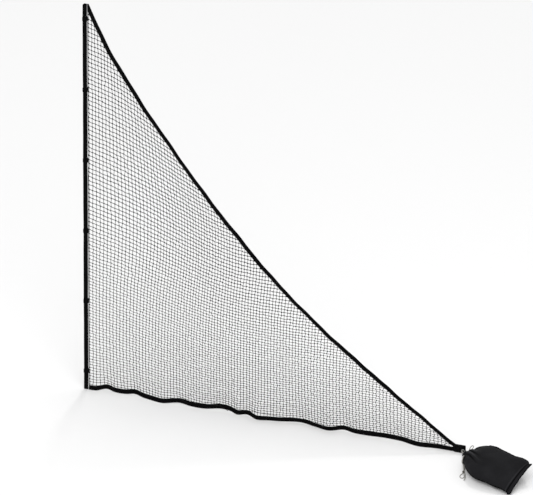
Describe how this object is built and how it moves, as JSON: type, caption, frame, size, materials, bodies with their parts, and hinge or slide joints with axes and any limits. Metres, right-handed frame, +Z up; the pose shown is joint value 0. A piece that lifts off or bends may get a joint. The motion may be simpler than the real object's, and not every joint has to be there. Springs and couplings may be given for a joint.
{
  "type": "golf practice side net",
  "caption": "Three-cornered golf practice side net with webbing edges, hook-and-loop straps for a post and a drawstring sandbag at its front corner.",
  "frame": {"origin": "on the post's axis, at mid height of the lowest post strap, 100 mm above the ground", "axes": "+Z up along the post, +X along the net from the post to the front corner, -Y the golfer's side"},
  "size_m": [2.5664, 0.4006, 2.286],
  "materials": {
    "webbing": "matte",
    "tab_webbing": "matte",
    "strap_webbing": "matte",
    "netting": "matte",
    "loop_pile": "matte",
    "hook_tape": "satin",
    "eyelet_metal": "satin",
    "bag_cloth": "satin",
    "sand": "matte",
    "cord": "matte"
  },
  "bodies": {
    "post_edge": {"post_edge_webbing": "webbing", "post_strap_1": "strap_webbing", "post_strap_2": "strap_webbing", "post_strap_3": "strap_webbing", "post_strap_4": "strap_webbing", "post_strap_5": "strap_webbing", "post_strap_6": "strap_webbing", "loop_patch_1": "loop_pile", "loop_patch_2": "loop_pile", "loop_patch_3": "loop_pile", "loop_patch_4": "loop_pile", "loop_patch_5": "loop_pile", "loop_patch_6": "loop_pile"},
    "side_net": {"net_panel": "netting", "sloped_webbing": "webbing", "hem_webbing": "webbing", "corner_tab_front": "tab_webbing", "corner_tab_back": "tab_webbing", "eyelet": "eyelet_metal", "eyelet_washer": "eyelet_metal"},
    "bag_tie": {"drawcord_tie": "cord"},
    "weight_bag": {"bag_upper_panel": "bag_cloth", "bag_lower_panel": "bag_cloth", "bag_end_hem": "bag_cloth", "bag_mouth_channel": "bag_cloth", "bag_mouth_frill": "bag_cloth", "sand_fill": "sand", "drawcord_neck_turn": "cord", "drawcord_top_loop": "cord", "drawcord_left_end": "cord", "drawcord_right_end": "cord", "drawcord_knot": "cord"},
    "strap_flap_1": {"strap_flap_1": "strap_webbing", "hook_patch_1": "hook_tape"},
    "strap_flap_2": {"strap_flap_2": "strap_webbing", "hook_patch_2": "hook_tape"},
    "strap_flap_3": {"strap_flap_3": "strap_webbing", "hook_patch_3": "hook_tape"},
    "strap_flap_4": {"strap_flap_4": "strap_webbing", "hook_patch_4": "hook_tape"},
    "strap_flap_5": {"strap_flap_5": "strap_webbing", "hook_patch_5": "hook_tape"},
    "strap_flap_6": {"strap_flap_6": "strap_webbing", "hook_patch_6": "hook_tape"}
  },
  "joints": [
    {"name": "net_swing", "type": "hinge", "parent": "post_edge", "child": "side_net", "pos_m": [0.0178, -0.0155, -0.1], "axis": [0, 0, 1], "range_deg": [-80, 50]},
    {"name": "bag_swing", "type": "hinge", "parent": "side_net", "child": "bag_tie", "pos_m": [2.116, -0.0155, -0.087], "axis": [0, 0, 1], "range_deg": [-2, 82]},
    {"name": "bag_lift", "type": "hinge", "parent": "bag_tie", "child": "weight_bag", "pos_m": [2.13515, -0.03157, -0.087], "axis": [-0.6428, -0.766, 0], "range_deg": [0, 60]},
    {"name": "strap_open_1", "type": "hinge", "parent": "post_edge", "child": "strap_flap_1", "pos_m": [-0.014, 0, 0], "axis": [0, 0, 1], "range_deg": [0, 100]},
    {"name": "strap_open_2", "type": "hinge", "parent": "post_edge", "child": "strap_flap_2", "pos_m": [-0.014, 0, 0.417], "axis": [0, 0, 1], "range_deg": [0, 100]},
    {"name": "strap_open_3", "type": "hinge", "parent": "post_edge", "child": "strap_flap_3", "pos_m": [-0.014, 0, 0.834], "axis": [0, 0, 1], "range_deg": [0, 100]},
    {"name": "strap_open_4", "type": "hinge", "parent": "post_edge", "child": "strap_flap_4", "pos_m": [-0.014, 0, 1.251], "axis": [0, 0, 1], "range_deg": [0, 100]},
    {"name": "strap_open_5", "type": "hinge", "parent": "post_edge", "child": "strap_flap_5", "pos_m": [-0.014, 0, 1.668], "axis": [0, 0, 1], "range_deg": [0, 100]},
    {"name": "strap_open_6", "type": "hinge", "parent": "post_edge", "child": "strap_flap_6", "pos_m": [-0.014, 0, 2.085], "axis": [0, 0, 1], "range_deg": [0, 100]}
  ]
}
